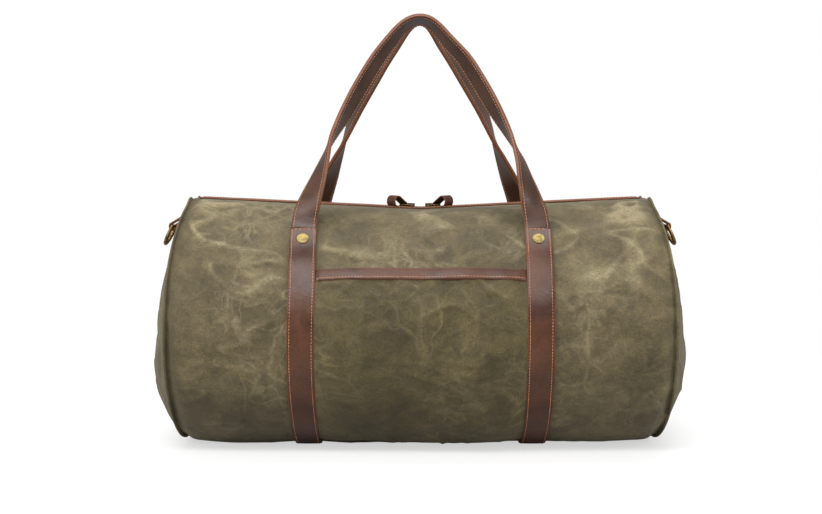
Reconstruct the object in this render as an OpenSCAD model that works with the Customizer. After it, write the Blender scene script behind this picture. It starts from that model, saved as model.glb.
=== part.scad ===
// Barrel-shaped canvas weekender bag with leather straps, two carry
// handles, a two-slider top zip and a ring at each end.
// +X runs along the bag, the pocket faces -Y, +Z is up.
// The origin is on the floor, under the middle of the bag.

/* [Bag] */
// Half of the bag's length at its widest height
half_len = 270; // [260:1:280]
// Half of the bag's depth, front to back
half_depth = 140; // [134:1:146]
// Height of the zip above the floor at the middle of the bag
top_mid = 236; // [234:1:242]
// Height of the zip above the floor at the ends of the bag
top_end = 247; // [246:1:250]
// Thickness of the lined canvas wall
wall = 2; // [1.6:0.1:2.4]

/* [Straps and handles] */
// Distance of each strap's centre line from the middle of the bag
strap_x = 112; // [106:1:118]
// Width of the leather straps and of the handles
strap_w = 25; // [22:1:26]
// Thickness of one layer of strap leather
strap_t = 3; // [2.6:0.1:3.2]
// Thickness of a handle, which is two layers sewn together
handle_t = 4; // [3:0.5:5]
// Radius of a rivet's round cap
rivet_r = 6; // [5:0.5:6.5]

/* [Pocket] */
// Height of the pocket trim's top edge above the floor
pocket_top = 181.5; // [180:0.5:188]
// Height of the leather trim along the pocket's mouth
trim_h = 11; // [9:0.5:13]

/* [Zip] */
// Length of each half of the zip, from the middle to its end stop
zip_half = 222; // [216:1:226]
// Distance from one tooth to the next
tooth_pitch = 5; // [4:0.5:6]

/* [Rings] */
// Inside radius of the D ring's bow
ring_r = 12.5; // [11:0.5:13.5]
// Radius of the D ring's wire
ring_wire = 1.75; // [1.5:0.05:1.9]

/* [Hidden] */

canvas = [0.42, 0.38, 0.28];
leather = [0.30, 0.19, 0.15];
dark_brass = [0.55, 0.45, 0.25];

// Section of the barrel, seen along X
mid_z = 115;        // height of the widest part of the section
up_r = 134;         // rise of the section above mid_z
down_r = 118;       // drop of the section below mid_z
floor_z = strap_t;  // the canvas bottom is one strap off the floor
steps = 72;

// Point of the section at angle t, grown outward by e
function sec(t, e) = sin(t) >= 0
  ? [(half_depth + e) * cos(t), mid_z + (up_r + e) * sin(t)]
  : [(half_depth + e) * cos(t), mid_z + (down_r + e) * sin(t)];

function section(e) = [for (i = [0 : steps - 1]) sec(i * 360 / steps, e)];

// Half length of the bag at height z: the ends bulge at z0
z0 = 95;
function half_at(z) = z >= z0
  ? half_len - 42 * pow((z - z0) / (top_end - z0), 2.8)
  : half_len - 40 * pow((z0 - z) / z0, 4);

slope = atan((top_end - top_mid) / half_at(top_end));
function top_at(x) = top_mid + tan(slope) * abs(x);

// Y of the section's front surface at height z, grown by e
function front_y(z, e) = -(half_depth + e) *
  sqrt(max(0, 1 - pow((z - mid_z) / (up_r + e), 2)));

rivet_z = 206.5;
strap_top = 220;
tab_low = 197;

// Handle: half of its centre line, [x, y, z], and its twist in degrees
handle_pts = [
  [-112, -92, 225, 0],
  [-110, -90, 235, 12],
  [-105, -84.5, 250, 34],
  [-98, -76.5, 268, 54],
  [-90, -67, 290, 76],
  [-81, -56, 312, 100],
  [-68, -45, 340, 118],
  [-54, -34, 366, 122],
  [-40, -26, 390, 119],
  [-26, -20, 410, 114],
  [-13, -16.5, 423, 108],
  [0, -15.5, 428, 104]];

module along_x() rotate([90, 0, 90]) children();
// Child is drawn in X and Z, and extruded along Y from y0 to y1
module along_y(y0, y1) translate([0, y1, 0]) rotate([90, 0, 0])
  linear_extrude(height = y1 - y0) children();
module both_sides() { children(); mirror([1, 0, 0]) children(); }
// Moves a child drawn along +X onto the right half of the sloping zip
module ramp() translate([0, 0, top_mid]) rotate([0, -slope, 0]) children();

module bar_section(e, len) translate([-len / 2, 0, 0]) along_x()
  linear_extrude(height = len) polygon(section(e));

module ring_section(x0, x1, e0, e1) translate([x0, 0, 0]) along_x()
  linear_extrude(height = x1 - x0)
    difference() { polygon(section(e1)); polygon(section(e0)); }

// Outline of the bag seen along Y, with its end curves moved in by d
function end_curve(d, lo, hi, n) =
  [for (i = [0 : n]) let (z = lo + (hi - lo) * i / n) [half_at(z) - d, z]];

module side_outline(d, lo, top_drop) {
  hi = top_end - top_drop - 0.01;
  c = end_curve(d, lo, hi, 22);
  polygon(concat(
    c,
    [[0, top_mid - top_drop]],
    [for (i = [22 : -1 : 0]) [-c[i][0], c[i][1]]]));
}

module body_shell() color(canvas) difference() {
  intersection() {
    bar_section(0, 600);
    along_y(-200, 200) side_outline(wall, floor_z, 0);
  }
  intersection() {
    bar_section(-wall, 700);
    along_y(-200, 200) polygon([
      [-320, floor_z + wall], [320, floor_z + wall],
      [320, top_at(320) - wall], [0, top_mid - wall],
      [-320, top_at(320) - wall]]);
  }
  // slot for the zip
  translate([-zip_half - 4, -9, top_mid - 20])
    cube([2 * zip_half + 8, 18, 60]);
  for (x = [-strap_x, strap_x]) rivet_holes(x);
}

module end_panel() intersection() {
  bar_section(0, 600);
  along_y(-200, 200) polygon(concat(
    end_curve(0, floor_z, top_end - 0.01, 22),
    [for (i = [22 : -1 : 0]) let (z = floor_z + (top_end - 0.01 - floor_z) * i / 22)
      [half_at(z) - wall, z]]));
}

module end_panel_left() color(canvas) mirror([1, 0, 0]) end_panel();
module end_panel_right() color(canvas) end_panel();

pocket_half = strap_x - strap_w / 2 - 0.2;

module front_pocket() color(canvas) intersection() {
  ring_section(-pocket_half, pocket_half, 0, 1.4);
  translate([-150, -200, 14]) cube([300, 200, pocket_top - trim_h - 14]);
}

module pocket_trim() color(leather) intersection() {
  ring_section(-pocket_half, pocket_half, 0, 3);
  translate([-150, -200, pocket_top - trim_h]) cube([300, 200, trim_h]);
}

// One strap runs from the front handle under the bag to the back handle
module strap(x) {
  difference() {
    intersection() {
      translate([x, 0, 0]) bar_section(strap_t, strap_w);
      translate([x - 50, -200, 0]) cube([100, 400, tab_low]);
    }
    intersection() {
      bar_section(0, 600);
      translate([x - 50, -200, floor_z]) cube([100, 400, tab_low]);
    }
  }
  intersection() {
    ring_section(x - strap_w / 2, x + strap_w / 2, strap_t, 2 * strap_t);
    translate([x - 50, -200, tab_low - 2]) cube([100, 400, strap_top - tab_low + 2]);
  }
  intersection() {
    ring_section(x - strap_w / 2, x + strap_w / 2, 1, 2 * strap_t);
    translate([x - 50, -200, tab_low - 2]) cube([100, 400, 2]);
  }
}
// Angle of the section's surface at a rivet, for its axis
rivet_lean = atan(((rivet_z - mid_z) / (up_r * up_r)) /
  (-front_y(rivet_z, 0) / (half_depth * half_depth)));

// Places a child whose +Z axis is the rivet's outward axis; side -1 is front
module at_rivet(x, side) translate([x, -side * front_y(rivet_z, 0), rivet_z])
  rotate([side < 0 ? 90 - rivet_lean : -90 + rivet_lean, 0, 0]) children();

rivet_post_r = 1.5;
module rivet_holes(x) for (s = [-1, 1])
  at_rivet(x, s) translate([0, 0, -6]) cylinder(h = 16, r = rivet_post_r + 0.05, $fn = 32);

module strap_left() color(leather) difference() { strap(-strap_x); rivet_holes(-strap_x); }
module strap_right() color(leather) difference() { strap(strap_x); rivet_holes(strap_x); }

// Lower ends of a handle, held between the canvas and the strap
module handle_tabs(side) difference() {
  for (x = [-strap_x, strap_x]) intersection() {
    ring_section(x - strap_w / 2 + 0.5, x + strap_w / 2 - 0.5, 0, strap_t);
    translate([x - 50, side < 0 ? -200 : 0, tab_low]) cube([100, 200, strap_top - tab_low]);
  }
  for (x = [-strap_x, strap_x]) rivet_holes(x);
}
module handle_tabs_front() color(leather) handle_tabs(-1);
module handle_tabs_back() color(leather) handle_tabs(1);

function unit(v) = v / norm(v);
function lerp_pts(a, b, t) = a * (1 - t) + b * t;
// Catmull-Rom through the half path, mirrored past its last point
function hp(i) = let (n = len(handle_pts))
  i < 0 ? 2 * handle_pts[0] - handle_pts[1] :
  i < n ? handle_pts[i] :
  let (q = handle_pts[2 * (n - 1) - i]) [-q[0], q[1], q[2], q[3]];
function cr(i, t) = let (a = hp(i - 1), b = hp(i), c = hp(i + 1), d = hp(i + 2))
  0.5 * ((2 * b) + (c - a) * t + (2 * a - 5 * b + 4 * c - d) * t * t
    + (3 * b - 3 * c + d - a) * t * t * t);
per = 3;
half_pts = [for (i = [0 : len(handle_pts) - 2], k = [0 : per - 1]) cr(i, k / per)];
last_pt = handle_pts[len(handle_pts) - 1];
function flip(p) = [-p[0], p[1], p[2], p[3]];
full_pts = concat(half_pts, [last_pt],
  [for (i = [len(half_pts) - 1 : -1 : 0]) flip(half_pts[i])]);

function p3(p) = [p[0], p[1], p[2]];
// Four corners of the handle's cross-section at station i
function corners(i) = let (
  n = len(full_pts),
  p = p3(full_pts[i]),
  t = unit(p3(full_pts[min(i + 1, n - 1)]) - p3(full_pts[max(i - 1, 0)])),
  u0 = cross([0, 1, 0], t),
  u = unit(u0),                    // across the strap, in the X-Z plane
  v = unit(cross(t, u)),           // across the strap, towards +Y
  a = full_pts[i][3],
  w = cos(a) * u - sin(a) * v,
  m = unit(cross(t, w)),
  hw = strap_w / 2 * w, ht = handle_t / 2 * m)
  [p - hw - ht, p + hw - ht, p + hw + ht, p - hw + ht];

module handle() {
  n = len(full_pts);
  polyhedron(
    points = [for (i = [0 : n - 1], c = corners(i)) c],
    faces = concat([[0, 1, 2, 3]],
      [for (i = [0 : n - 2], k = [0 : 3], h = [0, 1])
        let (a = 4 * i + k, b = 4 * i + (k + 1) % 4, c = b + 4, d = a + 4)
        h == 0 ? [a, d, b] : [b, d, c]],
      [[4 * n - 1, 4 * n - 2, 4 * n - 3, 4 * n - 4]]));
}
module handle_front() color(leather) handle();
module handle_back() color(leather) mirror([0, 1, 0]) handle();

module rivet_cap(x, s) at_rivet(x, s) {
  translate([0, 0, 2 * strap_t + 0.1]) cylinder(h = 1.2, r = rivet_r, $fn = 48);
  translate([0, 0, -4]) cylinder(h = 4 + 2 * strap_t + 0.6, r = rivet_post_r, $fn = 32);
}
module rivet_caps_front() color(dark_brass) both_sides() rivet_cap(strap_x, -1);
module rivet_caps_back() color(dark_brass) both_sides() rivet_cap(strap_x, 1);
module rivet_backs() color(dark_brass) both_sides() for (s = [-1, 1])
  at_rivet(strap_x, s) translate([0, 0, -4.2]) difference() {
    cylinder(h = 1.4, r = 4.5, $fn = 48);
    translate([0, 0, -1]) cylinder(h = 4, r = rivet_post_r, $fn = 32);
  }

// Zip. Heights are above the sloping top of the bag.
tape_lo = -3; tape_hi = -2.05;
module zip_tape(s) both_sides() ramp()
  translate([-0.5, s < 0 ? -13 : 0.8, tape_lo]) cube([zip_half + 0.5, 12.2, tape_hi - tape_lo]);
module zip_tape_front() color([0.25, 0.17, 0.13]) zip_tape(-1);
module zip_tape_back() color([0.25, 0.17, 0.13]) zip_tape(1);

// A row of teeth on a bead along the edge of the tape
module zip_teeth(s) both_sides() ramp() translate([0, 0, tape_hi + 0.05])
  linear_extrude(height = 1.5)
    let (n = floor((zip_half - 6) / tooth_pitch), y0 = s * 3.8, y1 = s * 3, y2 = s * 0.8)
    polygon(concat([[-0.5, y0], [-0.5, y1]],
      [for (i = [0 : n - 1], q = [[0, y1], [0, y2], [2.4, y2], [2.4, y1]])
        [1 + i * tooth_pitch + q[0], q[1]]],
      [[n * tooth_pitch, y1], [n * tooth_pitch, y0]]));
module zip_teeth_front() color(dark_brass) zip_teeth(-1);
module zip_teeth_back() color(dark_brass) zip_teeth(1);

module zip_facing(s) both_sides() ramp()
  translate([0, s < 0 ? -15 : 9, 0.1]) cube([zip_half, 6, 1.2]);
module zip_facing_front() color(leather) zip_facing(-1);
module zip_facing_back() color(leather) zip_facing(1);

module zip_stop() ramp() translate([zip_half - 5, -4, tape_hi + 0.05]) cube([3, 8, 1.5]);
module zip_stop_left() color(dark_brass) mirror([1, 0, 0]) zip_stop();
module zip_stop_right() color(dark_brass) zip_stop();

// Slider: upper and lower plates joined by a thin wall between the rows
bail_x = 9; bail_z = 3.2; bar_r = 0.9;
module zip_slider() ramp() {
  difference() {
    union() {
      translate([1, -5.5, -0.1]) cube([12, 11, 1.4]);
      translate([5.5, -1.3, 1.2]) cube([7, 2.6, 4.1]);
      translate([1, -5.5, -1.5]) cube([12, 1.1, 1.5]);
      translate([1, 4.4, -1.5]) cube([12, 1.1, 1.5]);
      translate([1, -4.8, -5]) cube([12, 9.6, 1.3]);
      translate([1.5, -0.5, -4]) cube([4, 1, 4.2]);
    }
    translate([bail_x, 3, bail_z]) rotate([90, 0, 0])
      cylinder(h = 6, r = bar_r + 0.15, $fn = 32);
  }
}
module zip_slider_left() color(dark_brass) mirror([1, 0, 0]) zip_slider();
module zip_slider_right() color(dark_brass) zip_slider();

// Link of wire that swings in the slider's bail
link_w = 6; link_len = 9;
module pull_link() ramp() translate([bail_x, 0, bail_z]) {
  for (x = [0, link_len]) translate([x, link_w / 2 + bar_r, 0]) rotate([90, 0, 0])
    cylinder(h = link_w + 2 * bar_r, r = bar_r, $fn = 32);
  for (y = [-1, 1]) translate([0, y * link_w / 2, 0]) rotate([0, 90, 0])
    cylinder(h = link_len, r = bar_r, $fn = 32);
}
module pull_link_left() color(dark_brass) mirror([1, 0, 0]) pull_link();
module pull_link_right() color(dark_brass) pull_link();

// Short leather strip folded into a loop round the link's far bar
tab_len = 18; tab_r = 5.5; tab_w = 12; tab_t = 1.6;
module drop_shape(r0, r1) hull() {
  circle(r = r0, $fn = 32);
  translate([tab_len - tab_r, 2.6]) circle(r = r1, $fn = 40);
}
module pull_tab() ramp() translate([bail_x + link_len, 0, bail_z])
  difference() {
    along_y(-tab_w / 2, tab_w / 2) difference() {
      drop_shape(bar_r + 0.1 + tab_t, tab_r);
      translate([0.0, 0]) drop_shape(bar_r + 0.1, tab_r - tab_t);
    }
    // the strip is cut back where the link's side wires pass
    for (y = [-1, 1]) translate([-4, y * link_w / 2 - 1.3, -1.2]) cube([4.5, 2.6, 2.4]);
  }
module pull_tab_left() color(leather) mirror([1, 0, 0]) pull_tab();
module pull_tab_right() color(leather) pull_tab();

// Ring loops, on the bulging end panels
loop_z = 216; loop_out = 4.6; loop_in = 2.8; loop_w = 18;
lean = atan((half_at(loop_z - 8) - half_at(loop_z + 8)) / 16);
hook_x = half_at(loop_z) + (loop_out + 0.2) * cos(lean);
hook_z = loop_z + (loop_out + 0.2) * sin(lean);
module ring_loop() {
  translate([hook_x, 0, hook_z]) along_y(-loop_w / 2, loop_w / 2)
    difference() { circle(r = loop_out, $fn = 48); circle(r = loop_in, $fn = 48); }
  // leg of the loop, sewn flat on the panel
  along_y(-loop_w / 2, loop_w / 2) polygon(concat(
    [for (i = [0 : 6]) let (z = loop_z + 3 + i * 3) [half_at(z) + 0.15, z]],
    [for (i = [6 : -1 : 0]) let (z = loop_z + 3 + i * 3) [half_at(z) + 2.2, z]]));
}
module ring_loop_left() color(leather) mirror([1, 0, 0]) ring_loop();
module ring_loop_right() color(leather) ring_loop();

// The D ring hangs from the loop, against the panel
module d_ring() translate([hook_x, 0, hook_z]) rotate([0, -lean, 0]) {
  translate([0, ring_r + ring_wire, 0]) rotate([90, 0, 0])
    cylinder(h = 2 * (ring_r + ring_wire), r = ring_wire, $fn = 32);
  for (y = [-1, 1]) translate([0, y * (ring_r + ring_wire), -6])
    cylinder(h = 6 + ring_wire, r = ring_wire, $fn = 32);
  translate([0, 0, -6]) rotate([0, 90, 0]) rotate_extrude(angle = 180, start = -90, $fn = 64)
    translate([ring_r + ring_wire, 0]) circle(r = ring_wire, $fn = 32);
}
module d_ring_left() color(dark_brass) rotate([0, 0, 180]) d_ring();
module d_ring_right() color(dark_brass) d_ring();

body_shell();
end_panel_left();
end_panel_right();
front_pocket();
pocket_trim();
strap_left();
strap_right();
handle_tabs_front();
handle_tabs_back();
handle_front();
handle_back();
rivet_caps_front();
rivet_caps_back();
rivet_backs();
zip_tape_front();
zip_tape_back();
zip_teeth_front();
zip_teeth_back();
zip_facing_front();
zip_facing_back();
zip_stop_left();
zip_stop_right();
zip_slider_left();
zip_slider_right();
pull_link_left();
pull_link_right();
pull_tab_left();
pull_tab_right();
ring_loop_left();
ring_loop_right();
d_ring_left();
d_ring_right();
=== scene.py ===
import bpy, math
import numpy as np
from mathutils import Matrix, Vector, noise


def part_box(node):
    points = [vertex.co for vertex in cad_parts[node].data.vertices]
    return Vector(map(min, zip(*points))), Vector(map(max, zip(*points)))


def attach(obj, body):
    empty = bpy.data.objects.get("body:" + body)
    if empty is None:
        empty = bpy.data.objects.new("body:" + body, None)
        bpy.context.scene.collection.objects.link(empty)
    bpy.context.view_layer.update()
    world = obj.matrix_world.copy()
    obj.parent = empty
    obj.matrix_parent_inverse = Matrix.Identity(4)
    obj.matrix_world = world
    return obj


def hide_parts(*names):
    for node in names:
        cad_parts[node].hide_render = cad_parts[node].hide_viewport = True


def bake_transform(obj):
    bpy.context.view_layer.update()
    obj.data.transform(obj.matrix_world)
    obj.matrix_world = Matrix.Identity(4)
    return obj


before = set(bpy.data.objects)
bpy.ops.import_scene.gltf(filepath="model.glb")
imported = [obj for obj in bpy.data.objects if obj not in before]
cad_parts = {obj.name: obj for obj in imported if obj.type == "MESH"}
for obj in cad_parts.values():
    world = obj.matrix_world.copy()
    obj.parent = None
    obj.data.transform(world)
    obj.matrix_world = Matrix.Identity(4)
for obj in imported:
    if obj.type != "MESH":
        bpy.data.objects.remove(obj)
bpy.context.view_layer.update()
MM = 0.001

# ---------------------------------------------------------------- dimensions, mm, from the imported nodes
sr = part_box("strap_right")
STRAP_X = (sr[0][0] + sr[1][0]) / 2 * 1000
STRAP_W = (sr[1][0] - sr[0][0]) * 1000
HALF_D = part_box("body_shell")[1][1] * 1000
TRIM_LO, TRIM_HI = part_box("pocket_trim")[0][2] * 1000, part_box("pocket_trim")[1][2] * 1000
POCKET_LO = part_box("front_pocket")[0][2] * 1000
POCKET_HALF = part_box("front_pocket")[1][0] * 1000
TOP_MID, TOP_END = 236.0, 247.0
MID_Z, UP_R, DOWN_R = 115.0, 134.0, 118.0
ZIP_HALF = 222.0
STRAP_T, STRAP_TOP, TAB_LOW, RIVET_Z = 3.0, 220.0, 197.0, 206.5
SLOPE = math.atan((TOP_END - TOP_MID) / 228.0)
CA, SA = math.cos(SLOPE), math.sin(SLOPE)


def half_at(z):
    z = np.asarray(z, float)
    hi = 270 - 42 * np.clip((z - 95) / 152.0, 0, 1.2) ** 2.8
    lo = 270 - 40 * np.clip((95 - z) / 95.0, 0, 1.2) ** 4
    return np.where(z >= 95, hi, lo)


def smooth(a, b, x):
    t = np.clip((np.asarray(x, float) - a) / (b - a), 0, 1)
    return t * t * (3 - 2 * t)


def smin(a, b, k):
    h = np.clip(0.5 + 0.5 * (b - a) / k, 0, 1)
    return b * (1 - h) + a * h - k * h * (1 - h)


def sec(t, e=0.0):
    """Section of the barrel at angle t: 90 degrees is the top, 180 the front."""
    c, s = np.cos(t), np.sin(t)
    up = s >= 0
    y = np.where(up, (HALF_D + e) * c, (HALF_D + e) * np.sign(c) * np.abs(c) ** 1.06)
    z = np.where(up, MID_Z + (UP_R + e) * s, MID_Z - (DOWN_R + e) * np.abs(s) ** 1.06)
    return y, z


def fbm(pts, scale, octaves=2, seed=0.0, stretch=(1, 1, 1)):
    """Smooth noise, about -1 to 1, at points in mm; scale is the feature size in mm."""
    out = np.zeros(len(pts))
    for i, p in enumerate(pts):
        v = Vector((p[0] / scale / stretch[0] + seed, p[1] / scale / stretch[1] - seed * 0.7, p[2] / scale / stretch[2] + seed * 1.3))
        a, f, s = 0.0, 1.0, 0.0
        for _ in range(octaves):
            a += f * noise.noise(v)
            s += f
            v = v * 2.03
            f *= 0.5
        out[i] = a / s
    return out


# ---------------------------------------------------------------- materials
def material(name):
    m = bpy.data.materials.new(name)
    m.use_nodes = True
    nt = m.node_tree
    b = nt.nodes["Principled BSDF"]
    return m, nt, b


def node(nt, kind, **kw):
    n = nt.nodes.new(kind)
    for k, v in kw.items():
        if k.startswith("in_"):
            key = k[3:]
            n.inputs[int(key) if key.isdigit() else key].default_value = v
        else:
            setattr(n, k, v)
    return n


def ramp_node(nt, stops, interp="LINEAR"):
    r = nt.nodes.new("ShaderNodeValToRGB")
    r.color_ramp.interpolation = interp
    els = r.color_ramp.elements
    els[0].position, els[0].color = stops[0][0], (*stops[0][1], 1)
    els[1].position, els[1].color = stops[-1][0], (*stops[-1][1], 1)
    for p, c in stops[1:-1]:
        e = els.new(p)
        e.color = (*c, 1)
    return r


def srgb(r, g, b):
    f = lambda v: (v / 255 / 12.92) if v / 255 <= 0.04045 else ((v / 255 + 0.055) / 1.055) ** 2.4
    return (f(r), f(g), f(b))


def mixrgb(nt, fac, a, b, kind="MIX"):
    m = nt.nodes.new("ShaderNodeMix")
    m.data_type = "RGBA"
    m.blend_type = kind
    L = nt.links.new
    for sock, v in ((m.inputs[0], fac), (m.inputs[6], a), (m.inputs[7], b)):
        if isinstance(v, (int, float)):
            sock.default_value = v
        elif isinstance(v, tuple):
            sock.default_value = (*v, 1) if len(v) == 3 else v
        else:
            L(v, sock)
    return m.outputs[2]


def math_node(nt, op, a, b=None, c=None, clamp=False):
    n = nt.nodes.new("ShaderNodeMath")
    n.operation = op
    n.use_clamp = clamp
    for i, v in enumerate((a, b, c)):
        if v is None:
            continue
        if isinstance(v, (int, float)):
            n.inputs[i].default_value = v
        else:
            nt.links.new(v, n.inputs[i])
    return n.outputs[0]


def tex_noise(nt, vec, scale, detail=3, rough=0.5, distortion=0.0):
    n = node(nt, "ShaderNodeTexNoise", in_Scale=scale, in_Detail=detail, in_Roughness=rough, in_Distortion=distortion)
    nt.links.new(vec, n.inputs["Vector"])
    return n


def mapping(nt, vec, scale=(1, 1, 1), rot=(0, 0, 0), loc=(0, 0, 0)):
    m = nt.nodes.new("ShaderNodeMapping")
    m.inputs["Scale"].default_value = scale
    m.inputs["Rotation"].default_value = rot
    m.inputs["Location"].default_value = loc
    nt.links.new(vec, m.inputs["Vector"])
    return m.outputs[0]


def canvas_material(name, dark, mid, light, pale):
    m, nt, b = material(name)
    L = nt.links.new
    tc = nt.nodes.new("ShaderNodeTexCoord").outputs["Object"]
    # waxed cloth: cloudy colour
    big = tex_noise(nt, tc, 16.0, 6, 0.68, 0.6)
    r1 = ramp_node(nt, [(0.30, dark), (0.50, mid), (0.72, light)])
    L(big.outputs["Fac"], r1.inputs[0])
    # finer mottling
    fine = tex_noise(nt, tc, 60.0, 5, 0.7, 0.3)
    r2 = ramp_node(nt, [(0.30, (0.66, 0.66, 0.66)), (0.70, (1.28, 1.28, 1.26))])
    L(fine.outputs["Fac"], r2.inputs[0])
    col = mixrgb(nt, 1.0, r1.outputs[0], r2.outputs[0], "MULTIPLY")
    # pale marks where the wax has cracked along creases
    warp = tex_noise(nt, tc, 14.0, 3, 0.5)
    off = nt.nodes.new("ShaderNodeVectorMath"); off.operation = "MULTIPLY_ADD"
    L(warp.outputs["Color"], off.inputs[0]); off.inputs[1].default_value = (0.05, 0.05, 0.05); L(tc, off.inputs[2])
    marks = []
    for sc, rot, loc in (((20, 9, 11), (0.0, 0.35, 0.0), (3.1, 0, 0)), ((12, 12, 21), (0.0, -0.5, 0.2), (0, 1.7, 5.0)), ((31, 20, 26), (0.0, 0.9, 0.2), (4.0, 1.7, 2.0))):
        n = tex_noise(nt, mapping(nt, off.outputs[0], sc, rot, loc), 1.0, 2, 0.5, 0.4)
        a = math_node(nt, "ABSOLUTE", math_node(nt, "SUBTRACT", n.outputs["Fac"], 0.5))
        marks.append(math_node(nt, "SUBTRACT", 1.0, math_node(nt, "MULTIPLY", a, 34.0), clamp=True))
    line = math_node(nt, "MAXIMUM", math_node(nt, "MAXIMUM", marks[0], marks[1]), math_node(nt, "MULTIPLY", marks[2], 0.7))
    mask = tex_noise(nt, tc, 11.0, 3, 0.6)
    rm = ramp_node(nt, [(0.48, (0, 0, 0)), (0.66, (1, 1, 1))])
    L(mask.outputs["Fac"], rm.inputs[0])
    breakup = tex_noise(nt, tc, 160.0, 4, 0.75)
    rb = ramp_node(nt, [(0.35, (0, 0, 0)), (0.65, (1, 1, 1))])
    L(breakup.outputs["Fac"], rb.inputs[0])
    f = math_node(nt, "MULTIPLY", math_node(nt, "MULTIPLY", line, rm.outputs[0]), math_node(nt, "MULTIPLY_ADD", rb.outputs[0], 0.7, 0.25))
    f = math_node(nt, "MULTIPLY", f, 0.55)
    # rubbed high places, from the mesh's own relief
    at = node(nt, "ShaderNodeAttribute", attribute_name="ridge")
    rub = math_node(nt, "MULTIPLY", at.outputs["Fac"], math_node(nt, "MULTIPLY_ADD", rb.outputs[0], 0.6, 0.4), clamp=True)
    f = math_node(nt, "MAXIMUM", f, math_node(nt, "MULTIPLY", rub, 0.6))
    col = mixrgb(nt, f, col, pale)
    # plain weave
    wa = tex_noise(nt, mapping(nt, tc, (1300, 1300, 260)), 1.0, 2, 0.6)
    wb = tex_noise(nt, mapping(nt, tc, (260, 1300, 1300)), 1.0, 2, 0.6)
    weave = math_node(nt, "ADD", math_node(nt, "MULTIPLY", wa.outputs["Fac"], 0.5), math_node(nt, "MULTIPLY", wb.outputs["Fac"], 0.5))
    slub = tex_noise(nt, mapping(nt, tc, (900, 300, 900)), 1.0, 2, 0.5)
    height = math_node(nt, "ADD", math_node(nt, "MULTIPLY", weave, 0.9), math_node(nt, "MULTIPLY", slub.outputs["Fac"], 0.45))
    grain = ramp_node(nt, [(0.50, (0.62, 0.62, 0.62)), (0.84, (1.36, 1.36, 1.36))])
    L(height, grain.inputs[0])
    col = mixrgb(nt, 0.8, col, mixrgb(nt, 1.0, col, grain.outputs[0], "MULTIPLY"))
    L(col, b.inputs["Base Color"])
    rr = ramp_node(nt, [(0.3, (0.62, 0.62, 0.62)), (0.7, (0.80, 0.80, 0.80))])
    L(fine.outputs["Fac"], rr.inputs[0])
    L(rr.outputs[0], b.inputs["Roughness"])
    b.inputs["Specular IOR Level"].default_value = 0.35
    b.inputs["Sheen Weight"].default_value = 0.12
    b.inputs["Sheen Roughness"].default_value = 0.5
    b.inputs["Sheen Tint"].default_value = (0.85, 0.80, 0.68, 1)
    bump1 = node(nt, "ShaderNodeBump", in_Strength=0.35, in_Distance=0.0004)
    L(height, bump1.inputs["Height"])
    crease = math_node(nt, "ADD", math_node(nt, "MULTIPLY", line, 0.35), math_node(nt, "MULTIPLY", fine.outputs["Fac"], 0.8))
    bump2 = node(nt, "ShaderNodeBump", in_Strength=0.45, in_Distance=0.0016)
    L(crease, bump2.inputs["Height"])
    L(bump1.outputs[0], bump2.inputs["Normal"])
    L(bump2.outputs[0], b.inputs["Normal"])
    return m


def leather_material(name, base, warm, edge, rough=0.42):
    m, nt, b = material(name)
    L = nt.links.new
    tc = nt.nodes.new("ShaderNodeTexCoord").outputs["Object"]
    big = tex_noise(nt, tc, 22.0, 4, 0.6, 0.4)
    r1 = ramp_node(nt, [(0.30, base), (0.72, warm)])
    L(big.outputs["Fac"], r1.inputs[0])
    fine = tex_noise(nt, tc, 420.0, 4, 0.65)
    r2 = ramp_node(nt, [(0.30, (0.80, 0.78, 0.76)), (0.72, (1.15, 1.14, 1.12))])
    L(fine.outputs["Fac"], r2.inputs[0])
    col = mixrgb(nt, 1.0, r1.outputs[0], r2.outputs[0], "MULTIPLY")
    at = node(nt, "ShaderNodeAttribute", attribute_name="edge")
    en = math_node(nt, "ADD", at.outputs["Fac"], math_node(nt, "MULTIPLY", math_node(nt, "SUBTRACT", big.outputs["Fac"], 0.5), 0.06))
    re = ramp_node(nt, [(0.955, (0, 0, 0)), (1.0, (1, 1, 1))])
    L(en, re.inputs[0])
    col = mixrgb(nt, re.outputs[0], col, edge)
    L(col, b.inputs["Base Color"])
    rr = ramp_node(nt, [(0.3, (rough - 0.07,) * 3), (0.7, (rough + 0.10,) * 3)])
    L(big.outputs["Fac"], rr.inputs[0])
    L(rr.outputs[0], b.inputs["Roughness"])
    b.inputs["Specular IOR Level"].default_value = 0.42
    vor = node(nt, "ShaderNodeTexVoronoi", feature="DISTANCE_TO_EDGE", in_Scale=1100.0)
    L(tc, vor.inputs["Vector"])
    h = math_node(nt, "ADD", math_node(nt, "MULTIPLY", vor.outputs["Distance"], 0.9), math_node(nt, "MULTIPLY", fine.outputs["Fac"], 0.8))
    bump = node(nt, "ShaderNodeBump", in_Strength=0.30, in_Distance=0.0003)
    L(h, bump.inputs["Height"])
    soft = tex_noise(nt, tc, 70.0, 2, 0.5)
    bump2 = node(nt, "ShaderNodeBump", in_Strength=0.25, in_Distance=0.0012)
    L(soft.outputs["Fac"], bump2.inputs["Height"])
    L(bump.outputs[0], bump2.inputs["Normal"])
    L(bump2.outputs[0], b.inputs["Normal"])
    return m


def thread_material(name, a, c):
    m, nt, b = material(name)
    L = nt.links.new
    tc = nt.nodes.new("ShaderNodeTexCoord").outputs["Object"]
    n = tex_noise(nt, tc, 90.0, 3, 0.6)
    r = ramp_node(nt, [(0.35, a), (0.65, c)])
    L(n.outputs["Fac"], r.inputs[0])
    L(r.outputs[0], b.inputs["Base Color"])
    f = tex_noise(nt, tc, 3000.0, 2, 0.5)
    bump = node(nt, "ShaderNodeBump", in_Strength=0.4, in_Distance=0.0002)
    L(f.outputs["Fac"], bump.inputs["Height"])
    L(bump.outputs[0], b.inputs["Normal"])
    b.inputs["Roughness"].default_value = 0.6
    return m


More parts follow.
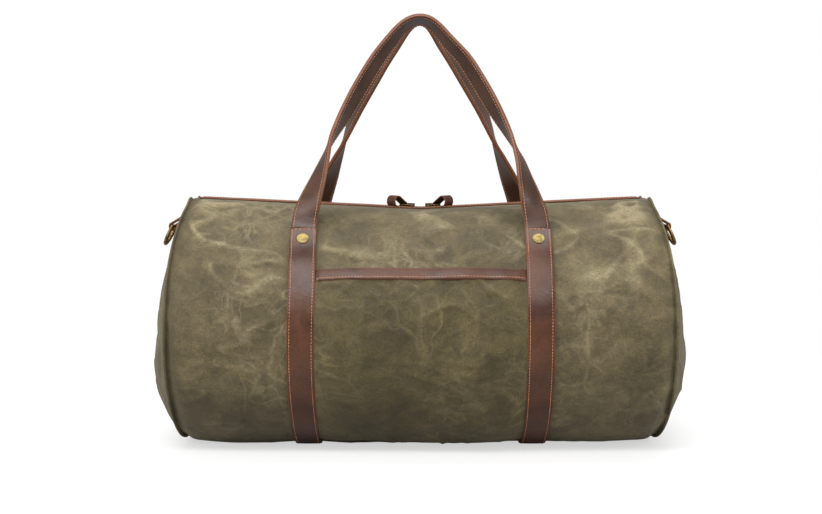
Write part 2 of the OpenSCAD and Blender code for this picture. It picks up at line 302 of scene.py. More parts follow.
def brass_material(name, base, dark, rough):
    m, nt, b = material(name)
    L = nt.links.new
    tc = nt.nodes.new("ShaderNodeTexCoord").outputs["Object"]
    n = tex_noise(nt, tc, 260.0, 5, 0.7, 0.4)
    r = ramp_node(nt, [(0.32, dark), (0.60, base)])
    L(n.outputs["Fac"], r.inputs[0])
    L(r.outputs[0], b.inputs["Base Color"])
    b.inputs["Metallic"].default_value = 1.0
    rr = ramp_node(nt, [(0.3, (rough + 0.18,) * 3), (0.7, (rough,) * 3)])
    L(n.outputs["Fac"], rr.inputs[0])
    L(rr.outputs[0], b.inputs["Roughness"])
    br = tex_noise(nt, mapping(nt, tc, (2200, 600, 600)), 1.0, 2, 0.5)
    bump = node(nt, "ShaderNodeBump", in_Strength=0.12, in_Distance=0.0002)
    L(br.outputs["Fac"], bump.inputs["Height"])
    L(bump.outputs[0], b.inputs["Normal"])
    return m


def tape_material(name, a, c):
    m, nt, b = material(name)
    L = nt.links.new
    tc = nt.nodes.new("ShaderNodeTexCoord").outputs["Object"]
    w = node(nt, "ShaderNodeTexWave", wave_type="BANDS", bands_direction="DIAGONAL", in_Scale=330.0, in_Distortion=0.6)
    L(tc, w.inputs["Vector"])
    r = ramp_node(nt, [(0.2, a), (0.8, c)])
    L(w.outputs["Fac"], r.inputs[0])
    L(r.outputs[0], b.inputs["Base Color"])
    bump = node(nt, "ShaderNodeBump", in_Strength=0.5, in_Distance=0.0003)
    L(w.outputs["Fac"], bump.inputs["Height"])
    L(bump.outputs[0], b.inputs["Normal"])
    b.inputs["Roughness"].default_value = 0.85
    return m


CANVAS = canvas_material("waxed_canvas", srgb(70, 61, 41), srgb(89, 79, 54), srgb(108, 97, 69), srgb(158, 145, 113))
# pocket canvas: darker cloth than the body, and part of that darkness is painted shade for the dimmer front centre of
# the bag
POCKET_CANVAS_DARK_AND_SHADED = canvas_material("pocket_canvas_dark_and_painted_shade", srgb(62, 53, 31), srgb(77, 68, 41), srgb(92, 81, 52), srgb(137, 123, 88))
LINING = canvas_material("canvas_inside", srgb(70, 64, 46), srgb(90, 82, 60), srgb(104, 96, 72), srgb(120, 112, 88))
LEATHER = leather_material("brown_leather", srgb(58, 32, 20), srgb(92, 55, 34), srgb(120, 70, 42), 0.34)
LEATHER_IN = leather_material("handle_leather", srgb(56, 36, 26), srgb(90, 61, 46), srgb(120, 70, 42), 0.34)
THREAD = thread_material("tan_thread", srgb(172, 104, 62), srgb(206, 146, 102))
BRASS = brass_material("antique_brass", srgb(164, 147, 96), srgb(116, 101, 64), 0.46)
RING_BRASS = brass_material("ring_brass", srgb(146, 118, 70), srgb(78, 58, 36), 0.30)
DARK_BRASS = brass_material("dark_brass", srgb(128, 106, 70), srgb(62, 48, 34), 0.38)
TAPE = tape_material("zip_tape", srgb(44, 30, 22), srgb(70, 50, 38))


# ---------------------------------------------------------------- mesh helpers (points in mm)
def make(name, verts, faces, mat, body=None, smooth_shade=True, attrs=None, replaces=(), slot=None):
    me = bpy.data.meshes.new(name)
    v = np.asarray(verts, float) * MM
    me.from_pydata([tuple(p) for p in v], [], [tuple(int(i) for i in f) for f in faces])
    me.validate()
    if smooth_shade:
        me.polygons.foreach_set("use_smooth", [True] * len(me.polygons))
    for k, a in (attrs or {}).items():
        at = me.attributes.new(k, "FLOAT", "POINT")
        at.data.foreach_set("value", np.asarray(a, np.float32))
    me.materials.append(mat)
    me.update()
    o = bpy.data.objects.new(name, me)
    bpy.context.scene.collection.objects.link(o)
    if body:
        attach(o, body)
    if replaces:
        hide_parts(*replaces)
    return o


def grid_faces(n, m, closed_m=False, flip=False):
    """Faces of a grid with n rows of m points."""
    f = []
    for i in range(n - 1):
        for j in range(m if closed_m else m - 1):
            a, b = i * m + j, i * m + (j + 1) % m
            q = (a, b, b + m, a + m)
            f.append(q[::-1] if flip else q)
    return f


def unit(v):
    v = np.asarray(v, float)
    return v / np.maximum(np.linalg.norm(v, axis=-1, keepdims=True), 1e-9)


def rounded(hw, ht, r, crown=0.0):
    pts = []
    r = min(r, ht * 0.98)
    for cx, cy, a0 in ((hw - r, ht - r, 0), (-(hw - r), ht - r, 90), (-(hw - r), -(ht - r), 180), (hw - r, -(ht - r), 270)):
        for k in range(5):
            a = math.radians(a0 + k * 22.5)
            pts.append((cx + r * math.cos(a), cy + r * math.sin(a)))
        if a0 in (0, 180):  # points across the flat faces
            s = 1 if a0 == 0 else -1
            for u in (0.78, 0.5, 0.2, -0.2, -0.5, -0.78):
                w = s * u * (hw - r)
                pts.append((w, s * (ht + crown * (1 - (w / hw) ** 2))))
    return np.array(pts)


def strip(name, P, W, hw, ht, mat, body=None, r=0.9, crown=0.25, closed=False, **kw):
    """A band along P with width direction W: hw and ht are half its width and thickness. Returns object, T, W, N."""
    P, W = np.asarray(P, float), np.asarray(W, float)
    T = unit(np.roll(P, -1, 0) - np.roll(P, 1, 0)) if closed else unit(np.gradient(P, axis=0))
    W = unit(W - (W * T).sum(1, keepdims=True) * T)
    N = np.cross(T, W)
    prof = rounded(hw, ht, r, crown)
    m = len(prof)
    V = P[:, None, :] + W[:, None, :] * prof[None, :, 0:1] + N[:, None, :] * prof[None, :, 1:2]
    edge = np.tile(np.abs(prof[:, 0]) / hw, len(P))
    if not closed:
        ends = np.zeros(len(P)); ends[:2] = ends[-2:] = 1
        edge = np.maximum(edge, np.repeat(ends, m) * 0.95)
    n = len(P)
    F = grid_faces(n, m, True)
    if closed:
        F += [((n - 1) * m + j, (n - 1) * m + (j + 1) % m, (j + 1) % m, j) for j in range(m)]
    else:
        F += [tuple(range(m))[::-1], tuple((n - 1) * m + j for j in range(m))]
    o = make(name, V.reshape(-1, 3), F, mat, body, attrs={"edge": edge}, **kw)
    return o, T, W, N


def resample(P, step, extra=None, closed=False):
    P = np.asarray(P, float)
    Q = np.vstack([P, P[:1]]) if closed else P
    s = np.concatenate([[0], np.cumsum(np.linalg.norm(np.diff(Q, axis=0), axis=1))])
    n = max(3, int(round(s[-1] / step)) + (0 if closed else 1))
    u = np.linspace(0, s[-1], n + 1)[:-1] if closed else np.linspace(0, s[-1], n)
    out = np.stack([np.interp(u, s, Q[:, k]) for k in range(3)], 1)
    if extra is None:
        return out
    E = [np.stack([np.interp(u, s, e[:, k]) for k in range(e.shape[1])], 1) for e in extra]
    return (out, *E)


def capsules(name, C, T, B, N, ln, wd, ht, mat, body=None, slot=None):
    """Many small stitches: centres C, along T, across B, up N."""
    rings = [(-0.5, 0.25), (-0.36, 0.8), (0.0, 1.0), (0.36, 0.8), (0.5, 0.25)]
    k = 6
    V, F = [], []
    ang = [2 * math.pi * j / k for j in range(k)]
    for c, t, b, n in zip(C, T, B, N):
        base = len(V)
        for u, r in rings:
            for a in ang:
                V.append(c + t * ln * u + b * wd * 0.5 * r * math.cos(a) + n * ht * 0.5 * r * (math.sin(a) + 0.25))
        for i in range(len(rings) - 1):
            for j in range(k):
                p, q = base + i * k + j, base + i * k + (j + 1) % k
                F.append((p, q, q + k, p + k))
        F.append(tuple(base + j for j in range(k))[::-1])
        F.append(tuple(base + (len(rings) - 1) * k + j for j in range(k)))
    return make(name, V, F, mat, body, slot=slot)


def stitch_rows(name, P, T, W, N, rows, mat, body=None, spacing=3.1, ln=2.35, margin=4.0, lift=0.0):
    """Stitches along rows (w offset, n offset, side) of a strip."""
    C, TT, BB, NN = [], [], [], []
    for w, nn, side in rows:
        Q = P + W * w + N * nn
        s = np.concatenate([[0], np.cumsum(np.linalg.norm(np.diff(Q, axis=0), axis=1))])
        k = int((s[-1] - 2 * margin) / spacing)
        u = margin + (s[-1] - 2 * margin - (k - 1) * spacing) / 2 + np.arange(k) * spacing
        I = lambda A: np.stack([np.interp(u, s, A[:, j]) for j in range(3)], 1)
        C.append(I(Q) + I(N) * (side * lift)); TT.append(unit(I(T))); BB.append(unit(I(W))); NN.append(unit(I(N)) * side)
    return capsules(name, np.vstack(C), np.vstack(TT), np.vstack(BB), np.vstack(NN), ln, 0.72, 0.62, mat, body, "leather")


# ---------------------------------------------------------------- canvas relief
def relief(x, y, z, seed=0.0, strength=1.0):
    """Outward offset of the canvas in mm at points of the barrel."""
    pts = np.stack([x, y, z], 1)
    ax = np.abs(x)
    broad = fbm(pts, 95, 2, 3.1 + seed, (1.25, 1, 0.8))
    # creases: sharp folds from warped noise, mostly along the bag
    wx = fbm(pts, 60, 1, 9.7 + seed) * 26
    wz = fbm(pts, 60, 1, 21.3 + seed) * 26
    q = np.stack([x + wx, y, z + wz + 0.18 * x], 1)
    n1 = fbm(q, 42, 2, 5.5 + seed, (2.0, 1, 0.75))
    n2 = fbm(np.stack([x + wz, y, z - 0.5 * ax + wx], 1), 38, 2, 14.2 + seed, (1.7, 1, 0.8))
    r1 = np.clip(1 - np.abs(n1) * 3.4, 0, 1) ** 2.2
    r2 = np.clip(1 - np.abs(n2) * 3.4, 0, 1) ** 2.2
    mask = smooth(-0.15, 0.35, fbm(pts, 80, 1, 31.0 + seed))
    topz = smooth(120, 225, z)
    ridge = (r1 * 0.9 + r2 * 0.6) * (0.35 + 0.65 * mask) * (0.55 + 0.75 * topz)
    d = 3.1 * broad + 3.0 * ridge - 1.0
    # fine puckers
    d += 0.45 * fbm(pts, 16, 2, 44.0 + seed)
    return d * strength, ridge


def strap_press(x):
    """0 at a strap, 1 away from it."""
    return 1 - np.exp(-((np.abs(np.abs(x) - STRAP_X) / 26.0) ** 2.4))


def canvas_offset(x, y, z, seed=0.0):
    d, ridge = relief(x, y, z, seed)
    p = strap_press(x)
    off = (0.6 + 3.0 * p) + d * (0.12 + 0.88 * smooth(10, 34, np.abs(np.abs(x) - STRAP_X)))
    return off, ridge


def ztop(x):
    return TOP_MID + math.tan(SLOPE) * np.abs(x)


def place(x, t, off):
    """Point of the canvas at x, section angle t, with outward offset."""
    y, z = sec(t, off)
    near = smooth(70, 12, np.abs(y))  # near the zip
    top = ztop(x) + 0.2 - 0.0006 * y * y + np.clip(off, -2, 2.5) * (1 - near) * 0.6
    z = np.where(z > 150, smin(z, top, 2.5 + 6.5 * smooth(222, 130, np.abs(x))), z)
    z = np.where(z < 60, -smin(-z, -0.9 + 0 * z, 6.0), z)
    return y, np.maximum(z, 0.5)


def seam_x(t):
    """Half length of the canvas tube at section angle t."""
    s = np.sin(t)
    return np.where(s >= 0, 239 - 9.5 * np.abs(s) ** 3, 239 - 0.5 * np.abs(s) ** 4)


sxm_at = seam_x


def edge_drop(t, gap):
    """How far the canvas turns in, gap mm from the end seam."""
    s = np.sin(t)
    turn = -5.0 * (1 - 0.85 * smooth(0.93, 0.995, s)) * (1 - smooth(0, 15, gap)) ** 1.6
    return turn - 3.5 * smooth(0.2, 0.9, -s) * (1 - smooth(0, 60, gap))


NX, NT = 330, 300
u = np.linspace(-1, 1, NX)
u = np.sign(u) * (1 - (1 - np.abs(u)) ** 1.12)
S = np.linspace(0, 1, NT)
X0 = u * 229.5
slot_w = np.where(np.abs(X0) < ZIP_HALF - 3, 9.0, np.maximum(0.25, 9.0 * (1 - smooth(ZIP_HALF - 3, ZIP_HALF - 0.5, np.abs(X0)))))
delta = np.arcsin(slot_w / HALF_D)
TT = (math.pi / 2 + delta)[:, None] + (2 * math.pi - 2 * delta)[:, None] * S[None, :]
XX = u[:, None] * seam_x(TT)
gap = seam_x(TT) - np.abs(XX)
y0, z0 = sec(TT.ravel())
off, ridge = canvas_offset(XX.ravel(), y0, z0)
fade = smooth(2, 22, gap.ravel())
zipfade = smooth(6, 34, np.abs(y0) + np.where(z0 < 150, 100, 0))
off = off * (0.25 + 0.75 * fade) * (0.1 + 0.9 * zipfade) + edge_drop(TT.ravel(), gap.ravel())
# folds that run round the bag just inside each end seam
endw = np.exp(-((gap.ravel() - 16) / 9.0) ** 2)
off += 1.2 * endw * fbm(np.stack([XX.ravel() * 0.3, y0, z0], 1), 45, 2, 71.0)
yy, zz = place(XX.ravel(), TT.ravel(), off)
V = np.stack([XX.ravel(), yy, zz], 1)
body = make("canvas_body", V, grid_faces(NX, NT, flip=False), CANVAS, "bag",
            attrs={"ridge": np.clip(ridge - 0.45, 0, 1) * 1.5 * fade}, replaces=("body_shell",), slot="canvas")
sol = body.modifiers.new("thickness", "SOLIDIFY"); sol.thickness = 0.0014; sol.offset = -1


# ---------------------------------------------------------------- end panels
def end_cap(name, sx, seed, cad):
    NR, NA = 70, 260
    rho = np.linspace(0, 1, NR) ** 0.8
    th = np.linspace(0, 2 * math.pi, NA + 1)[:-1]
    R, A = np.meshgrid(rho, th, indexing="ij")
    ry, rz = place(sxm_at(A.ravel()), A.ravel(), edge_drop(A.ravel(), 0.0))
    c = np.array([0.0, 116.0])
    Y, Z = c[0] + (ry - c[0]) * R.ravel(), c[1] + (rz - c[1]) * R.ravel()
    sxm = seam_x(A.ravel())
    X = 267.5 - (267.5 - sxm) * R.ravel() ** (1.6 + (2.8 if sx < 0 else 1.8) * smooth(0, 0.9, -np.sin(A.ravel())))
    pts = np.stack([np.full(Y.shape, 40.0 * sx), Y, Z], 1)
    wob = fbm(pts, 75, 2, 3.0 + seed) * 1.8 + (np.clip(1 - np.abs(fbm(pts, 46, 2, 8.0 + seed)) * 3.2, 0, 1) ** 2) * 1.6 - 1.5
    rimfold = fbm(np.stack([A.ravel() * 34, R.ravel() * 12, 0 * Y], 1), 10, 1, seed) * 1.6 * smooth(0.6, 0.9, R.ravel()) * smooth(1.0, 0.93, R.ravel())
    X = X + (wob * smooth(1.0, 0.8, R.ravel()) + rimfold)
    sag = -2.5 * np.exp(-((Z - 8) / 16.0) ** 2) * smooth(1.0, 0.8, R.ravel())
    X = np.minimum(X + sag, 271.5)
    ridge = np.clip(wob - 1.2, 0, 1) * 0.5
    V = np.stack([X * sx, Y, Z], 1)
    o = make(name, V, grid_faces(NR, NA, True, flip=(sx > 0)), CANVAS, "bag", attrs={"ridge": ridge}, replaces=(cad,), slot="canvas")
    s = o.modifiers.new("thickness", "SOLIDIFY"); s.thickness = 0.0014; s.offset = -1
    # folded seam that stands proud where the panel is sewn to the body
    th2 = np.linspace(0, 2 * math.pi, 361)[:-1]
    py, pz = place(sxm_at(th2), th2, edge_drop(th2, 0.0) + 1.4)
    px = seam_x(th2) + 0.6
    P = np.stack([px * sx, py, pz], 1)
    rad = unit(np.stack([0 * py, py, pz - 108], 1))
    P += rad * (0.6 - 4.2 * smooth(30, 13, np.abs(py)) * (pz > 200))[:, None]
    P[:, 2] = np.maximum(P[:, 2], 1.6)
    strip(name.replace("end_panel", "end_seam"), P, rad, 2.3, 1.0, CANVAS, "bag", r=0.9, crown=0.2, closed=True, slot="canvas")
    return o


end_cap("canvas_end_panel_left", -1, 2.0, "end_panel_left")
end_cap("canvas_end_panel_right", 1, 17.0, "end_panel_right")

# ---------------------------------------------------------------- pocket and its trim
def front_t(z, e=0.0):
    """Section angle on the front at height z."""
    z = np.asarray(z, float)
    up = np.arcsin(np.clip((z - MID_Z) / (UP_R + e), -1, 1))
    dn = np.arcsin(-np.clip((MID_Z - z) / (DOWN_R + e), 0, 1) ** (1 / 1.06))
    return math.pi - np.where(z >= MID_Z, up, dn)


nx, nz = 150, 120
px = np.linspace(-POCKET_HALF - 0.6, POCKET_HALF + 0.6, nx)
pz = np.linspace(TRIM_LO + 3, POCKET_LO, nz)
PX, PZ = np.meshgrid(px, pz, indexing="ij")
PT = front_t(PZ.ravel())
y0, z0 = sec(PT)
o1, rg = canvas_offset(PX.ravel(), y0, z0)
o2, rg2 = relief(PX.ravel(), y0, z0, 60.0, 0.45)
pin = smooth(0, 26, POCKET_HALF + 0.6 - np.abs(PX.ravel()))
mouth = smooth(TRIM_LO, TRIM_LO - 40, PZ.ravel())
offp = np.maximum(o1 + 1.5, 1.8 + 0.0 * o1) + np.maximum(o2, -0.6) * pin * mouth * 0.8 + 1.6 * pin * mouth
offp = np.maximum(offp, o1 + 1.3)
offp = 1.7 + (offp - 1.7) * smooth(-1, 9, POCKET_HALF - np.abs(PX.ravel()))
y1, z1 = place(PX.ravel(), PT, offp)
pocket = make("canvas_pocket", np.stack([PX.ravel(), y1, z1], 1), grid_faces(nx, nz, flip=True), POCKET_CANVAS_DARK_AND_SHADED, "bag",
              attrs={"ridge": np.clip(rg - 0.5, 0, 1) * 1.2}, replaces=("front_pocket",), slot="canvas")
sol = pocket.modifiers.new("thickness", "SOLIDIFY"); sol.thickness = 0.0011; sol.offset = -1

n = 120
tx = np.linspace(-POCKET_HALF - 1, POCKET_HALF + 1, n)
tz = np.full(n, (TRIM_LO + TRIM_HI) / 2)
tt = front_t(tz)
y0, z0 = sec(tt)
o1, _ = canvas_offset(tx, y0, z0)
k = np.ones(15) / 15
o1s = np.convolve(np.pad(o1, 7, "edge"), k, "valid")
y1, z1 = sec(tt, 0.9 + (o1s + 1.9) * smooth(-1, 6, POCKET_HALF - np.abs(tx)))
P = np.stack([tx, y1, z1], 1)
ya, za = sec(front_t(np.array([TRIM_HI])) , 0); yb, zb = sec(front_t(np.array([TRIM_LO])), 0)
Wt = unit(np.array([0.0, ya[0] - yb[0], za[0] - zb[0]]))
o, T, W, N = strip("leather_pocket_trim", P, np.tile(Wt, (n, 1)), (TRIM_HI - TRIM_LO) / 2 + 0.5, 1.4, LEATHER, "bag", r=1.1, replaces=("pocket_trim",), slot="leather")
side = 1 if N[0][1] < 0 else -1
stitch_rows("stitches_pocket_trim", P, T, W, N, [(-3.4, side * 1.45, side)], THREAD, "bag", spacing=3.0, ln=2.3, margin=3)

# ---------------------------------------------------------------- straps
def strap(name, x, cad):
    e_top = 1.5 + STRAP_T
    ta = float(front_t(np.array([STRAP_TOP]), e_top)[0])
    t = np.linspace(ta, 3 * math.pi - ta, 420)
    y, z = sec(t, 1.9)
    lift = smooth(TAB_LOW - 34, TAB_LOW + 4, z)
    y, z = sec(t, 1.9 + 2.8 * lift)
    z = -smin(-z, -1.62 + 0 * z, 4.0)
    z = np.maximum(z, 1.6)
    wob = fbm(np.stack([0 * y + x, y, z], 1), 90, 1, 5.0) * 0.9
    P = resample(np.stack([np.full(len(t), x) + wob, y, z], 1), 2.4)
    W0 = np.tile([1.0, 0, 0], (len(P), 1))
    o, T, W, N = strip(name, P, W0, STRAP_W / 2 + 0.3, 1.5, LEATHER, "bag", r=0.9, crown=0.35, replaces=(cad,), slot="leather")
    outward = 1 if N[len(P) // 4][1] * (-1) > 0 else -1
    hw = STRAP_W / 2 - 2.1
    stitch_rows(name.replace("leather", "stitches"), P, T, W, N, [(hw, outward * 1.6, outward), (-hw, outward * 1.6, outward)], THREAD, "bag", margin=3)
    # the stitches across each top end of the strap
    C, A, B, D = [], [], [], []
    for i, s in ((1, 1), (len(P) - 2, -1)):
        for q in np.arange(-hw + 3.5, hw - 3.4, 3.9):
            C.append(P[i] + W[i] * q + T[i] * s * 0.6 + N[i] * outward * 1.75); A.append(W[i]); B.append(T[i]); D.append(N[i] * outward)
    capsules(name.replace("leather", "end_stitches"), np.array(C), np.array(A), np.array(B), np.array(D), 2.7, 0.9, 0.8, THREAD, "bag", "leather")
    return P, N * outward


strap("leather_strap_left", -STRAP_X, "strap_left")
strap("leather_strap_right", STRAP_X, "strap_right")

# ---------------------------------------------------------------- handles
HP = [(-112, -112.7, 198, 0), (-112, -101.6, 210, 0), (-112, -94.0, 219, 4), (-111.4, -91.2, 227, 8), (-110, -90, 235, 12),
      (-105, -84.5, 250, 34), (-98, -76.5, 268, 54), (-90, -67, 290, 76), (-81, -56, 312, 100), (-68, -45, 340, 118),
      (-54, -34, 366, 122), (-40, -26, 390, 119), (-26, -20, 410, 114), (-13, -16.5, 423, 108), (0, -15.5, 428, 104)]
HP = np.array(HP, float)
full = np.vstack([HP, (HP[:-1] * [-1, 1, 1, 1])[::-1]])


def catmull(A, per):
    out = []
    for i in range(len(A) - 1):
        p0 = A[i - 1] if i else 2 * A[0] - A[1]
        p3 = A[i + 2] if i + 2 < len(A) else 2 * A[-1] - A[-2]
        p1, p2 = A[i], A[i + 1]
        for k in range(per):
            s = k / per
            out.append(0.5 * (2 * p1 + (p2 - p0) * s + (2 * p0 - 5 * p1 + 4 * p2 - p3) * s * s + (3 * p1 - 3 * p2 + p3 - p0) * s ** 3))
    out.append(A[-1])
    return np.array(out)


def handle(name, back):
    C = catmull(full, 10)
    P, extra = resample(C[:, :3], 2.2, [C[:, 3:4]])
    phi = np.radians(extra[:, 0])
    P = P.copy()
    zs = [240, 285, 305, 340, 385, 406, 420, 428]
    table = {(False, 1): [0, 6, 6, 3, 2, -3, -2, 0], (False, -1): [0, 2, 4, 1, 0.5, -1, -0.5, 0],
             (True, 1): [0, -3, -4, -3, -6, -7, -4, 0], (True, -1): [0, -2, -3, -2, -4, -5, -3, 0]}
    for sx in (-1, 1):
        side_pts = P[:, 0] * sx > 0
        dx = np.interp(P[:, 2], zs, table[(back, sx)])
        P[:, 0] += np.where(side_pts, sx * dx, 0)
    for _ in range(14):
        P[1:-1] = 0.25 * P[:-2] + 0.5 * P[1:-1] + 0.25 * P[2:]
    T = unit(np.gradient(P, axis=0))
    Yd = np.tile([0.0, 1.0, 0.0], (len(P), 1))
    U = unit(np.cross(Yd, T)); Vd = unit(np.cross(T, U))
    W0 = np.cos(phi)[:, None] * U - np.sin(phi)[:, None] * Vd
    if back:
        P = P * [1, -1, 1]; W0 = W0 * [1, -1, 1]
    bodyname = "handle_back" if back else "handle_front"
    reps = (bodyname, "handle_tabs_back" if back else "handle_tabs_front")
    o, T, W, N = strip(name, P, W0, STRAP_W / 2 - 0.3, 1.9, LEATHER_IN, None, r=1.2, crown=0.25, replaces=reps, slot="leather")
    hw = STRAP_W / 2 - 2.7
    rows = [(s * hw, f * 2.0, f) for s in (1, -1) for f in (1, -1)]
    st = stitch_rows(name.replace("leather", "stitches"), P, T, W, N, rows, THREAD, None, margin=24)
    for ob in (o, st):
        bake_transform(ob)
    return o


handle("leather_handle_front", False)
handle("leather_handle_back", True)

# ---------------------------------------------------------------- rivets
def lathe(name, prof, seg, origin, axis, mat, body, **kw):
    axis = unit(np.array(axis, float)); a = np.array([1.0, 0, 0]) if abs(axis[0]) < 0.9 else np.array([0, 1.0, 0])
    b1 = unit(np.cross(axis, a)); b2 = np.cross(axis, b1)
    V, F = [], []
    for r, h in prof:
        for j in range(seg):
            q = 2 * math.pi * j / seg
            V.append(np.array(origin) + axis * h + (b1 * math.cos(q) + b2 * math.sin(q)) * r)
    m = seg
    F = grid_faces(len(prof), m, True)
    F.append(tuple((len(prof) - 1) * m + j for j in range(m)))
    F.append(tuple(range(m))[::-1])
    return V, F


def rivets(name, side, cad):
    V, F = [], []
    for sx in (-1, 1):
        t = front_t(np.array([RIVET_Z]))
        y, z = sec(t, 0)
        ny, nz = y[0] / HALF_D ** 2, (RIVET_Z - MID_Z) / UP_R ** 2
        nn = unit(np.array([0, ny, nz]))
        org = np.array([sx * STRAP_X, y[0], z[0]]) + nn * 6.0
        if side > 0:
            org[1] *= -1; nn = nn * [1, -1, 1]
        prof = [(2.0, -1.0), (5.6, 0.0), (6.0, 0.35), (6.05, 0.8), (5.75, 1.25), (5.3, 1.45), (5.05, 1.3), (4.8, 1.32), (3.0, 1.42), (1.2, 1.48), (0.3, 1.5)]
        v, f = lathe("x", prof, 48, org, nn, None, None)
        F += [tuple(i + len(V) for i in q) for q in f]
        V += v
    o = make(name, V, F, BRASS, "bag", replaces=(cad,), slot="brass")
    return o


rivets("brass_rivets_front", -1, "rivet_caps_front")
rivets("brass_rivets_back", 1, "rivet_caps_back")

# ---------------------------------------------------------------- zip
def ramp(lx, y, lz, sx=1):
    lx, y, lz = (np.asarray(a, float) for a in np.broadcast_arrays(lx, y, lz))
    return np.stack([(lx * CA - lz * SA) * sx, y, TOP_MID + lx * SA + lz * CA], -1)


for sgn, word in ((-1, "front"), (1, "back")):
    lx = np.linspace(0, ZIP_HALF + 2, 90)
    R = ramp(lx, sgn * 12.2, 0.9, 1)
    Lp = ramp(lx[1:], sgn * 12.2, 0.9, -1)
    P = np.vstack([Lp[::-1], R])
    P[:, 2] += 0.25 * fbm(P, 40, 1, 4.0 + sgn)
    o, T, W, N = strip(f"leather_zip_facing_{word}", P, np.tile([0, 1.0, 0], (len(P), 1)), 3.4, 0.75, LEATHER, "bag", r=0.6, crown=0.1,
                       replaces=(f"zip_facing_{word}",), slot="leather")
    stitch_rows(f"stitches_zip_facing_{word}", P, T, W, N, [(sgn * 1.6, 0.8 * np.sign(N[0][2]), np.sign(N[0][2]))], THREAD, "bag", spacing=3.0, ln=2.3, margin=3)
    # teeth
    V, F = [], []
    pitch = 2.5
    for sx in (-1, 1):
        for i in range(int((ZIP_HALF - 8) / pitch)):
            x = 1.2 + i * pitch + (pitch / 2 if sgn > 0 else 0)
            a, b = sgn * 3.7, -sgn * 0.35
            b0 = len(V)
            hw = 0.62
            ring = [(-1.9, 1.0), (-1.5, 1.0), (-0.62, 1.0), (-0.42, 0.78)]
            for lz, s in ring:
                for dx, yy2 in ((-hw * s, a), (hw * s, a), (hw * s * 1.15, b + sgn * 0.9), (hw * s * 0.6, b), (-hw * s * 0.6, b), (-hw * s * 1.15, b + sgn * 0.9)):
                    V.append(ramp(x + dx, yy2, lz, sx))
            for r_ in range(3):
                for j in range(6):
                    p, q = b0 + r_ * 6 + j, b0 + r_ * 6 + (j + 1) % 6
                    F.append((p, q, q + 6, p + 6) if sx * sgn > 0 else (p + 6, q + 6, q, p))
            top = tuple(b0 + 18 + j for j in range(6))
            bot = tuple(b0 + j for j in range(6))
            F.append(top if sx * sgn > 0 else top[::-1]); F.append(bot[::-1] if sx * sgn > 0 else bot)
    make(f"brass_zip_teeth_{word}", V, F, DARK_BRASS, "bag", smooth_shade=False, replaces=(f"zip_teeth_{word}",), slot="zip_brass")

# leather loops on the pulls
def pull(name, sx, bodyname, cad):
    r0, r1, L = 1.85, 5.2, 12.3
    c0, c1 = np.array([0.0, 0.0]), np.array([L, 3.4])
    pts = []
    for a in np.linspace(0, 2 * math.pi, 120, endpoint=False):
        d = np.array([math.cos(a), math.sin(a)])
        pts.append(c0 + r0 * d if c0 @ d + r0 > c1 @ d + r1 else c1 + r1 * d)
    pts = np.array(pts)
    P2 = resample(np.stack([pts[:, 0], 0 * pts[:, 0], pts[:, 1]], 1), 0.7, closed=True)
    # strands pinch together behind the bar
    mid = P2[:, 0]
    axis = c1 / np.linalg.norm(c1)
    beta = math.radians(48)
    cb, sb = math.cos(beta), math.sin(beta)
    # turned towards the front about the link's far bar
    Q = np.stack([P2[:, 0] * cb, -P2[:, 0] * sb, P2[:, 2]], 1)
    Wl = np.tile([sb, cb, 0.0], (len(Q), 1))
    Q = Q + [18.0, 0, 3.2]
    P = ramp(Q[:, 0], Q[:, 1], Q[:, 2], sx)
    Wv = ramp(Wl[:, 0], Wl[:, 1], Wl[:, 2], sx) - ramp(0, 0, 0, sx)
    return strip(name, P, Wv, 5.6, 0.8, LEATHER, bodyname, r=0.5, crown=0.0, closed=True, replaces=(cad,), slot="leather")


pull("leather_pull_left", -1, "pull_left", "pull_tab_left")
pull("leather_pull_right", 1, "pull_right", "pull_tab_right")

# ---------------------------------------------------------------- ring loops
LOOP_Z = 216.0
LEAN = math.atan((half_at(LOOP_Z - 8) - half_at(LOOP_Z + 8)) / 16)
HX, HZ = float(half_at(LOOP_Z)) + 4.8 * math.cos(LEAN), LOOP_Z + 4.8 * math.sin(LEAN)


def ring_loop(name, sx, cad):
    leg = [(float(half_at(z)) + 1.6 + d, z) for z, d in ((LOOP_Z + 22.5, 0.0), (LOOP_Z + 19, 0.1), (LOOP_Z + 15, 0.5), (LOOP_Z + 11, 1.3))]
    arc = [(HX + 3.75 * math.cos(a), HZ + 3.75 * math.sin(a)) for a in np.radians(np.linspace(48, -205, 22))]
    tail = [(float(half_at(z)) - 0.6, z) for z in (LOOP_Z + 10, LOOP_Z + 15, LOOP_Z + 19)]
    pts = np.array(leg + arc + tail)
    P = resample(catmull(np.stack([pts[:, 0] * sx, 0 * pts[:, 0], pts[:, 1]], 1), 4), 0.8)
    o, T, W, N = strip(name, P, np.tile([0, 1.0, 0], (len(P), 1)), 8.6, 0.95, LEATHER, "bag", r=0.7, crown=0.1, replaces=(cad,), slot="leather")
    f = 1 if N[2][0] * sx > 0 else -1
    C, A, B, D = [], [], [], []
    for q in np.arange(-6, 6.1, 3.0):
        i = 13
        C.append(P[i] + W[i] * q + N[i] * f * 1.05); A.append(W[i]); B.append(T[i]); D.append(N[i] * f)
    capsules(name.replace("leather", "stitches"), np.array(C), np.array(A), np.array(B), np.array(D), 2.3, 0.9, 0.8, THREAD, "bag", "leather")


ring_loop("leather_ring_loop_left", -1, "ring_loop_left")
ring_loop("leather_ring_loop_right", 1, "ring_loop_right")

# ---------------------------------------------------------------- carried-over nodes: finish only
def dress(name, mat):
    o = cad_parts[name]
    o.data.materials.clear()
    o.data.materials.append(mat)


for nm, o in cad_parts.items():
    if "tape" in nm:
        dress(nm, TAPE)
    elif "rivet_backs" in nm:
        dress(nm, BRASS)
    elif nm.startswith(("zip_stop", "zip_slider", "pull_link")):
        dress(nm, DARK_BRASS)
    elif nm.startswith("d_ring"):
        dress(nm, RING_BRASS)

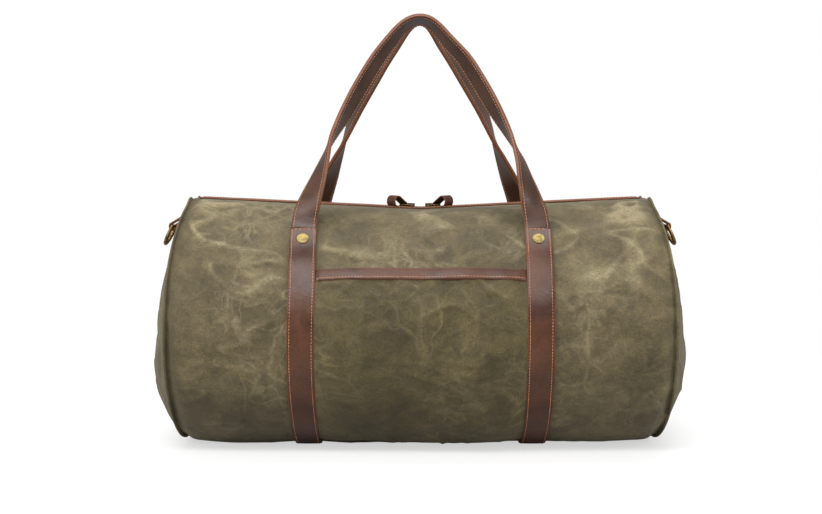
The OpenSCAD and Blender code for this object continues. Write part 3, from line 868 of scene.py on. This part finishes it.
# ---------------------------------------------------------------- stage, light, camera
def stage_plane(name, verts, faces, color, emit=0.0):
    me = bpy.data.meshes.new(name)
    me.from_pydata(verts, [], faces)
    o = bpy.data.objects.new(name, me)
    bpy.context.scene.collection.objects.link(o)
    m, nt, b = material(name)
    b.inputs["Base Color"].default_value = (*color, 1)
    b.inputs["Roughness"].default_value = 0.9
    b.inputs["Specular IOR Level"].default_value = 0.1
    if emit:
        b.inputs["Emission Color"].default_value = (1, 1, 1, 1)
        b.inputs["Emission Strength"].default_value = emit
    me.materials.append(m)
    return o


floor = stage_plane("floor", [(-0.6, -0.6, 0), (0.6, -0.6, 0), (0.6, 0.6, 0), (-0.6, 0.6, 0)], [(0, 1, 2, 3)], (0.5, 0.5, 0.5))
nt = floor.data.materials[0].node_tree
fb = nt.nodes["Principled BSDF"]
fb.inputs["Emission Color"].default_value = (1, 1, 1, 1)
eye = nt.nodes.new("ShaderNodeLightPath").outputs["Is Camera Ray"]
nt.links.new(math_node(nt, "MULTIPLY", eye, 0.58), fb.inputs["Emission Strength"])

w = bpy.data.worlds.new("studio")
bpy.context.scene.world = w
w.use_nodes = True
bg = w.node_tree.nodes["Background"]
bg.inputs[0].default_value = (1, 1, 1, 1)
wn = w.node_tree
seen = wn.nodes.new("ShaderNodeLightPath").outputs["Is Camera Ray"]
wn.links.new(math_node(wn, "MULTIPLY_ADD", seen, 0.62, 0.38), bg.inputs[1])


def area(name, loc, target, size, power, color=(1, 1, 1)):
    l = bpy.data.lights.new(name, "AREA")
    l.shape = "RECTANGLE"
    l.size, l.size_y = size
    l.energy = power
    l.color = color
    o = bpy.data.objects.new(name, l)
    o.location = loc
    o.rotation_euler = (Vector(target) - Vector(loc)).to_track_quat("-Z", "Y").to_euler()
    bpy.context.scene.collection.objects.link(o)
    return o


area("key", (-0.25, -1.25, 1.25), (0, 0, 0.18), (1.5, 0.4), 17)
area("top", (0, -0.05, 1.6), (0, 0, 0.2), (1.6, 0.6), 15)
area("left", (-1.3, -0.75, 0.5), (-0.2, 0, 0.13), (0.5, 0.9), 9)
area("right", (1.3, -0.75, 0.5), (0.2, 0, 0.13), (0.5, 0.9), 8)

cam = bpy.data.cameras.new("camera")
cam.sensor_width = 36.0
cam.lens = 1363.7 / 822 * 36
co = bpy.data.objects.new("camera", cam)
pitch = math.atan((257 - 165.7) / 1363.7)
co.location = (-0.0092, -1.4, 0.28)
co.rotation_euler = (math.pi / 2 - pitch, 0, 0)
bpy.context.scene.collection.objects.link(co)
bpy.context.scene.camera = co
bpy.context.scene.view_settings.view_transform = "Standard"
bpy.context.scene.view_settings.look = "None"
